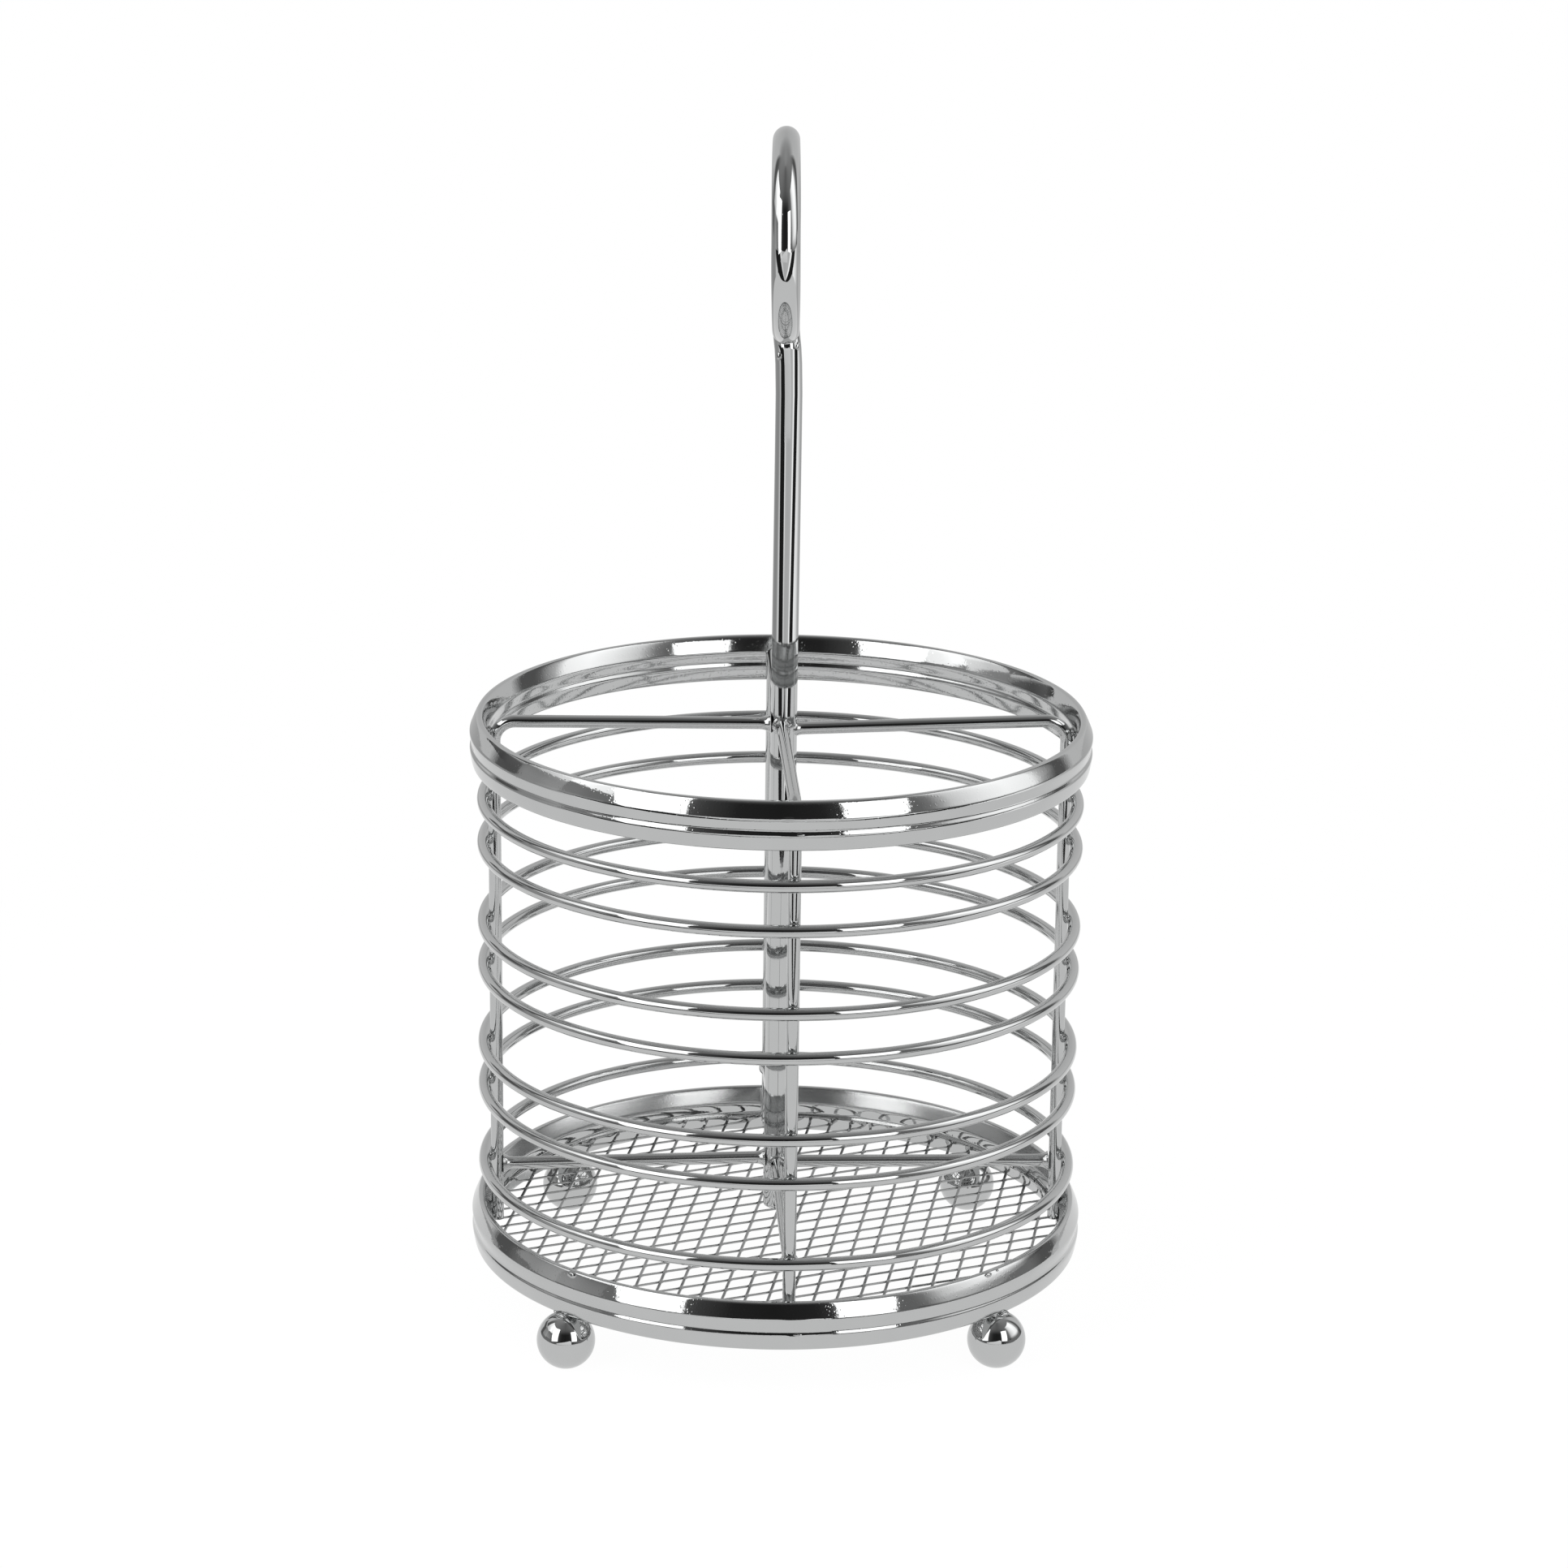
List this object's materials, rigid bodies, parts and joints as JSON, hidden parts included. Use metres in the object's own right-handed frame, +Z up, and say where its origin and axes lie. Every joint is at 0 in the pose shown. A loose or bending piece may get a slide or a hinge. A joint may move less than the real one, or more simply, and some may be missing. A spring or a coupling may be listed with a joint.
{
  "type": "cutlery caddy",
  "caption": "Round chromed wire basket for cutlery: moulded rim and base, cross dividers, expanded metal floor, ball feet, and a centre post that ends in a carrying eye.",
  "frame": {"origin": "on the ground under the middle of the post, at the flats of the four ball feet", "axes": "+Z up along the post, front towards -Y, +X to the right; the carrying eye lies in the YZ plane"},
  "size_m": [0.137, 0.137, 0.2639],
  "materials": {
    "rolled_strip": "bright plated",
    "drawn_wire": "bright plated",
    "post_rod": "bright plated",
    "expanded_metal": "plated, duller",
    "ball": "bright plated"
  },
  "bodies": {
    "root": {"top_rim": "rolled_strip", "base_ring": "rolled_strip", "wire_ring_1": "drawn_wire", "wire_ring_2": "drawn_wire", "wire_ring_3": "drawn_wire", "wire_ring_4": "drawn_wire", "wire_ring_5": "drawn_wire", "wire_ring_6": "drawn_wire", "wire_ring_7": "drawn_wire", "divider_right": "drawn_wire", "divider_back": "drawn_wire", "divider_left": "drawn_wire", "divider_front": "drawn_wire", "lower_bar_right": "drawn_wire", "lower_bar_back": "drawn_wire", "lower_bar_left": "drawn_wire", "lower_bar_front": "drawn_wire", "centre_post_handle": "post_rod", "mesh_floor": "expanded_metal", "ball_foot_back_right": "ball", "ball_foot_back_left": "ball", "ball_foot_front_left": "ball", "ball_foot_front_right": "ball"}
  },
  "joints": []
}
